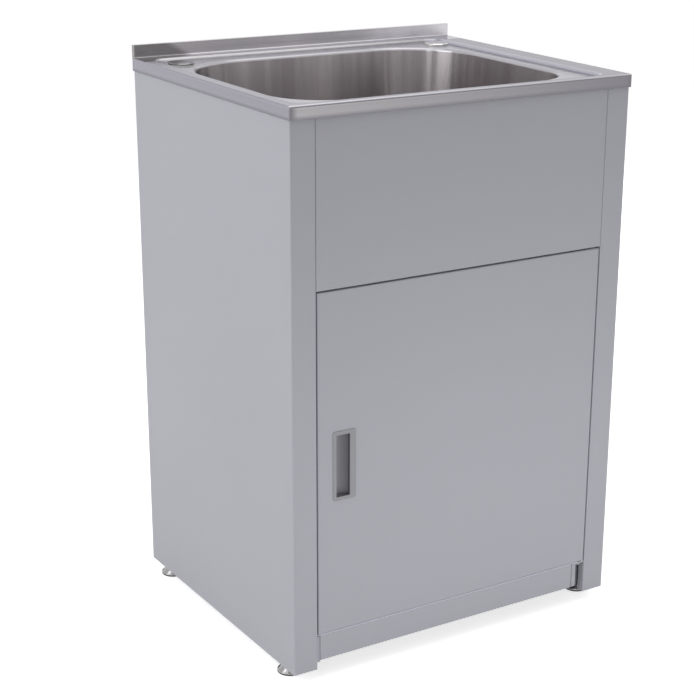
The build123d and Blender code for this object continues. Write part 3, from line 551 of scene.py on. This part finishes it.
def satin_stainless():
    """The pressed top: level brushing on its edges, upright bands of painted reflection down the
    bowl, and painted light and shade by area.
    """
    material, tree, shader = new_material("satin_stainless")
    grain = use_group(
        tree,
        brushed_grain,
        along=5.0,
        across=1300.0,
        base_roughness=0.235,
        roughness_spread=0.16,
    )
    regions = use_group(tree, top_regions)
    band = use_group(tree, reflection_bands)["band"]
    way, left_end_shade = regions["way along"], regions["left end shade"]
    # painted light and shade: each area of the one steel sheet has its own tone for the light,
    # shade and reflections it shows, and the rim and front edge fall off from left to right
    flats = blend_tones(tree, way, (0.345, 0.34, 0.385), (0.29, 0.286, 0.325))
    front = blend_tones(tree, way, (0.41, 0.395, 0.412), (0.23, 0.223, 0.247))
    # painted dark reflection at the left end of the rear strip and of the upstand
    strip = blend_tones(tree, left_end_shade, flats, (0.17, 0.16, 0.168))
    upstand = blend_tones(tree, way, (0.56, 0.54, 0.56), (0.6, 0.585, 0.62))
    upstand = blend_tones(tree, left_end_shade, upstand, (0.29, 0.28, 0.288))
    # painted reflection: lighter and darker upright bands down the bowl's walls
    bowl = blend_tones(tree, band, (0.4, 0.37, 0.38), (0.56, 0.537, 0.537))
    # among the area tones below: a painted dark line, a painted highlight and painted shade along
    # the folded front edge
    tone = flats
    for region, area_tone in (
        ("rear strip", strip),
        ("side edge", (0.33, 0.323, 0.37)),
        ("front edge", front),
        ("edge shade line", (0.2, 0.194, 0.21)),
        ("edge shine", (0.5, 0.488, 0.525)),
        ("edge foot shade", (0.21, 0.205, 0.225)),
        ("upstand", upstand),
        ("recess floor", (0.47, 0.462, 0.5)),
        ("recess rear wall", (0.47, 0.46, 0.475)),
        ("recess right wall", (0.55, 0.545, 0.61)),
        ("bowl lip", (0.44, 0.43, 0.457)),
        ("bowl outside", (0.43, 0.42, 0.425)),
        ("bowl floor", (0.45, 0.434, 0.441)),
        ("bowl walls", bowl),
    ):
        tone = blend_tones(tree, regions[region], tone, area_tone)
    brushed = calc(tree, "SUBTRACT", 1.0, regions["bowl walls"])
    contrast = calc(tree, "MULTIPLY", brushed, STREAK_CONTRAST)
    streaked = mix(tree, contrast, tone, grain["streak"], blend_type="OVERLAY")
    dust = (0.3, 0.29, 0.3, 1)
    handled = use_group(tree, handling_marks, colour=streaked, dust=dust, amount=0.12)
    tree.links.new(handled["colour"], shader.inputs["Base Color"])
    satin = mix(tree, brushed, BOWL_ROUGHNESS, grain["roughness"], "FLOAT")
    roughness = mix(tree, regions["rear strip"], satin, REAR_STRIP_ROUGHNESS, "FLOAT")
    tree.links.new(roughness, shader.inputs["Roughness"])
    shader.inputs["Metallic"].default_value = 1.0

    # the shine spreads across the brush strokes: upwards on walls, front to back on flats
    shader.inputs["Anisotropic"].default_value = 0.93
    spread = mix(tree, is_flat(tree, SHINE_FLAT), (0, 0, 1), (0, 1, 0), "VECTOR")
    tree.links.new(spread, shader.inputs["Tangent"])

    # the recess's walls lean back, so their normals are turned upwards
    height = calc(tree, "MULTIPLY", grain["height"], brushed)
    bump = set_bump(tree, shader, height, strength=0.25, distance=0.00001)
    walls = calc(tree, "ADD", regions["recess rear wall"], regions["recess right wall"])
    rolled = vector_calc(tree, "ADD", bump, vector_of(tree, z=walls))
    unit = vector_calc(tree, "NORMALIZE", rolled)
    tree.links.new(unit, shader.inputs["Normal"])
    return material


def powder_coat(name, tone, shade):
    """Baked powder coat over folded steel, with painted light in the kick's notch and under the
    door, and a painted shadow line beside the kick's right end.
    """
    material, tree, shader = new_material(name)
    coat = use_group(tree, powder_texture, colour=opaque(tone), shade=opaque(shade))
    seen = use_group(tree, handling_marks, colour=coat["colour"], amount=0.12)["colour"]
    # painted light in the notch and under the door, and a painted shadow line beside the kick
    for box in (KICK_NOTCH_LIGHT, KICK_STEP_SHADOW, DOOR_GAP_LIGHT, DOOR_FOLD_LIGHT):
        seen = shade_box(tree, seen, box)
    tree.links.new(seen, shader.inputs["Base Color"])
    tree.links.new(coat["roughness"], shader.inputs["Roughness"])
    shader.inputs["Specular IOR Level"].default_value = 0.35
    set_bump(tree, shader, coat["height"], strength=0.12, distance=0.0002)
    return material


def moulded(name, tone, shade, roughness, specular):
    """Moulded plastic or rubber with a fine spark-eroded texture, with painted shade in the
    handle's pocket and a painted shadow round its plate.
    """
    material, tree, shader = new_material(name)
    skin = use_group(
        tree, powder_texture, colour=opaque(tone), shade=opaque(shade), peel_scale=2200.0
    )
    seen = use_group(tree, handling_marks, colour=skin["colour"], amount=0.15)["colour"]
    # painted shade in the handle's pocket and painted shadow round its plate
    for box in (HANDLE_POCKET_SHADE, HANDLE_EDGE_SHADOW):
        seen = shade_box(tree, seen, box)
    tree.links.new(seen, shader.inputs["Base Color"])
    least, most = roughness - MOULDED_SPREAD, roughness + MOULDED_SPREAD
    varied = ramp(tree, skin["height"], start=0.3, end=0.7, first=least, last=most)
    tree.links.new(varied, shader.inputs["Roughness"])
    shader.inputs["Specular IOR Level"].default_value = specular
    set_bump(tree, shader, skin["height"], strength=0.1, distance=0.0001)
    return material


finishes = {
    "stainless_sheet": satin_stainless(),
    # the by-pass caps get a painted dark reflection towards the left
    "polished_steel": metal(
        "polished_steel",
        tone=(0.72, 0.715, 0.73),
        streak_tone=(0.66, 0.655, 0.67),
        left=(0.2, 0.19, 0.2),
        roughness=0.12,
        spread=0.08,
        along=300.0,
        across=1200.0,
        depth=0.00001,
    ),
    "powder_coat": powder_coat(
        "pale_grey_powder_coat", tone=(0.49, 0.49, 0.54), shade=(0.46, 0.46, 0.51)
    ),
    "zinc_plate": metal(
        "dull_zinc",
        tone=(0.3, 0.298, 0.305),
        streak_tone=(0.21, 0.208, 0.215),
        roughness=0.3,
        spread=0.16,
        along=400.0,
        across=160.0,
        depth=0.00004,
        marks=0.4,
    ),
    "black_rubber": moulded(
        "black_rubber",
        tone=(0.035, 0.035, 0.036),
        shade=(0.02, 0.02, 0.021),
        roughness=0.62,
        specular=0.35,
    ),
    "damping_rubber": moulded(
        "damping_mat",
        tone=(0.06, 0.06, 0.064),
        shade=(0.035, 0.035, 0.038),
        roughness=0.8,
        specular=0.25,
    ),
    "grey_plastic": moulded(
        "grey_handle_plastic",
        tone=(0.355, 0.352, 0.378),
        shade=(0.315, 0.312, 0.336),
        roughness=0.38,
        specular=0.5,
    ),
    "white_plastic": moulded(
        "off_white_nylon",
        tone=(0.68, 0.67, 0.64),
        shade=(0.6, 0.59, 0.56),
        roughness=0.45,
        specular=0.5,
    ),
    "dark_magnet": moulded(
        "ceramic_magnet",
        tone=(0.06, 0.06, 0.062),
        shade=(0.035, 0.035, 0.038),
        roughness=0.55,
        specular=0.4,
    ),
}

# the feet have a plating of their own
foot_plate = metal(
    "bright_nickel_plate",
    tone=(0.4, 0.395, 0.4),
    streak_tone=(0.28, 0.275, 0.28),
    roughness=0.2,
    spread=0.12,
    along=260.0,
    across=900.0,
    depth=0.00002,
    marks=0.25,
    lean=45.0,
)

for part in frame["record"]["subparts"]:
    node = nodes[part["node"]]
    is_foot = part["node"].startswith(("foot_disc", "foot_stud"))
    node.data.materials.clear()
    node.data.materials.append(foot_plate if is_foot else finishes[part["material_slot"]])


# ---------------------------------------------------------------- threads
THREAD_STEPS = 28  # points round one turn
THREAD_PROFILE = ((-0.42, 0.0), (-0.08, 1.0), (0.08, 1.0), (0.42, 0.0))  # pitches up, ridges out
STUD_PLAIN_FOOT = 0.0095  # unthreaded foot of a stud, inside the disc's cone
STUD_PLAIN_TOP = 0.0018
TAIL_PLAIN_FOOT = 0.002  # unthreaded foot of a waste or by-pass tail
WASTE_THREAD_TOP = 0.04  # above the tail's foot
BY_PASS_THREAD_TOP = 0.038  # above the tail's foot


def node_box(node):
    """Lowest and highest corner of a CAD node in the object's frame."""
    solid = nodes[node]
    corners = [solid.matrix_world @ Vector(corner) for corner in solid.bound_box]
    low = Vector([min(corner[axis] for corner in corners) for axis in range(3)])
    high = Vector([max(corner[axis] for corner in corners) for axis in range(3)])
    return low, high


def add_thread(name, body, node, bottom, top, radius, ridge, pitch):
    """A screw thread's ridge winding up a stud or tail, between two heights in metres."""
    low, high = node_box(node)
    middle_x, middle_y = (low.x + high.x) / 2, (low.y + high.y) / 2
    form = bmesh.new()
    count = int((top - bottom) / pitch * THREAD_STEPS)
    rows = []
    for step in range(count + 1):
        turn = 2 * math.pi * step / THREAD_STEPS
        height = bottom + pitch * step / THREAD_STEPS
        run_out = min(1.0, step / THREAD_STEPS, (count - step) / THREAD_STEPS)
        row = []
        for lift, reach in THREAD_PROFILE:
            distance = radius + ridge * reach * run_out
            x = middle_x + distance * math.cos(turn)
            y = middle_y + distance * math.sin(turn)
            row.append(form.verts.new((x, y, height + lift * pitch)))
        rows.append(row)
    for row, next_row in zip(rows, rows[1:]):
        for side in range(len(THREAD_PROFILE) - 1):
            form.faces.new((row[side], next_row[side], next_row[side + 1], row[side + 1]))
    bmesh.ops.recalc_face_normals(form, faces=form.faces)
    mesh = bpy.data.meshes.new(name)
    form.to_mesh(mesh)
    form.free()
    thread = bpy.data.objects.new(name, mesh)
    mesh.materials.append(nodes[node].data.materials[0])
    bpy.context.scene.collection.objects.link(thread)
    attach(thread, body)


for foot in ("front_left", "front_right", "rear_left", "rear_right"):
    stud_low, stud_high = node_box(f"foot_stud_{foot}")
    add_thread(
        f"foot_thread_{foot}",
        body=f"foot_{foot}",
        node=f"foot_stud_{foot}",
        bottom=stud_low.z + STUD_PLAIN_FOOT,
        top=stud_high.z - STUD_PLAIN_TOP,
        radius=0.00498,
        ridge=0.00045,
        pitch=0.0015,
    )

waste_foot = node_box("waste_body")[0].z
add_thread(
    "waste_tail_thread",
    body="cabinet",
    node="waste_body",
    bottom=waste_foot + TAIL_PLAIN_FOOT,
    top=waste_foot + WASTE_THREAD_TOP,
    radius=0.02948,
    ridge=0.0009,
    pitch=0.003,
)
for side in ("left", "right"):
    spigot_foot = node_box(f"by_pass_spigot_{side}")[0].z
    add_thread(
        f"by_pass_thread_{side}",
        body="cabinet",
        node=f"by_pass_spigot_{side}",
        bottom=spigot_foot + TAIL_PLAIN_FOOT,
        top=spigot_foot + BY_PASS_THREAD_TOP,
        radius=0.01698,
        ridge=0.0008,
        pitch=0.0025,
    )

# ---------------------------------------------------------------- studio
WHITE = (1, 1, 1, 1)
WORLD_LIGHT = 0.34
FLOOR_SIZE = 12.0
FLOOR_DROP = 0.0005  # keeps the floor just clear of the feet
FLOOR_TONE = (0.8, 0.8, 0.8, 1)
FLOOR_GLOW = 0.68  # lifts the open floor to white for the eye and in metal, and keeps the shadow

# name, place, size, watts, point aimed at, shows in metal
SOFTBOXES = (
    ("left_softbox", (-3.25, -0.15, 1.9), (1.5, 3.0), 28, (0, 0, 0.5), True),
    ("left_fill", (-3.0, 0.4, 2.4), (1.5, 2.6), 16, (0, 0, 0.6), False),
    ("left_strip", (-2.85, -1.7, 1.7), (0.5, 2.4), 4.8, (0, 0, 0.5), True),
    ("rear_fill", (2.4, 2.4, 1.9), (2.4, 2.4), 34, (0, 0, 0.4), False),
    ("top_softbox", (0.3, -0.2, 3.6), (2.6, 2.6), 24, (0, 0, 0.5), True),
    ("front_softbox", (0.1, -1.05, 0.24), (1.4, 0.3), 2.45, (0.1, -0.25, 0.24), False),
)


def add_world():
    """White to the eye and in reflections, and a soft even light on everything."""
    world = bpy.data.worlds.new("studio")
    bpy.context.scene.world = world
    world.use_nodes = True
    tree = world.node_tree
    tree.nodes.clear()
    path = put(tree, "ShaderNodeLightPath").outputs
    seen = calc(tree, "MAXIMUM", path["Is Camera Ray"], path["Is Glossy Ray"])
    seen_or_clear = calc(tree, "MAXIMUM", seen, path["Is Transmission Ray"])
    strength = ramp(tree, seen_or_clear, 0.0, 1.0, WORLD_LIGHT, 1.0)
    background = put(tree, "ShaderNodeBackground", {"Color": WHITE, "Strength": strength})
    put(tree, "ShaderNodeOutputWorld", {"Surface": background.outputs[0]})


def add_floor():
    """A pale floor that shows white to the camera except where the sink's shadow falls."""
    mesh = bpy.data.meshes.new("floor")
    form = bmesh.new()
    bmesh.ops.create_grid(form, x_segments=1, y_segments=1, size=FLOOR_SIZE / 2)
    form.to_mesh(mesh)
    form.free()
    floor = bpy.data.objects.new("floor", mesh)
    floor.location.z = cad_low.z - FLOOR_DROP
    bpy.context.scene.collection.objects.link(floor)
    material, tree, shader = new_material("floor")
    shader.inputs["Base Color"].default_value = FLOOR_TONE
    shader.inputs["Roughness"].default_value = 0.9
    shader.inputs["Emission Color"].default_value = WHITE
    path = put(tree, "ShaderNodeLightPath").outputs
    seen = calc(tree, "MAXIMUM", path["Is Camera Ray"], path["Is Glossy Ray"])
    glow = calc(tree, "MULTIPLY", seen, FLOOR_GLOW)
    tree.links.new(glow, shader.inputs["Emission Strength"])
    mesh.materials.append(material)


def add_softbox(name, place, size, watts, aim_at, in_metal):
    """A large soft lamp aimed at a point of the sink, which metal mirrors or doesn't."""
    lamp_data = bpy.data.lights.new(name, "AREA")
    lamp_data.shape = "RECTANGLE"
    lamp_data.size, lamp_data.size_y = size
    lamp_data.energy = watts
    lamp = bpy.data.objects.new(name, lamp_data)
    lamp.location = place
    lamp.visible_glossy = in_metal
    lamp.visible_camera = False
    aim = Vector(aim_at) - Vector(place)
    lamp.rotation_euler = aim.to_track_quat("-Z", "Y").to_euler()
    bpy.context.scene.collection.objects.link(lamp)


add_camera()
add_world()
add_floor()
for softbox in SOFTBOXES:
    add_softbox(*softbox)

scene = bpy.context.scene
scene.view_settings.view_transform = "Standard"
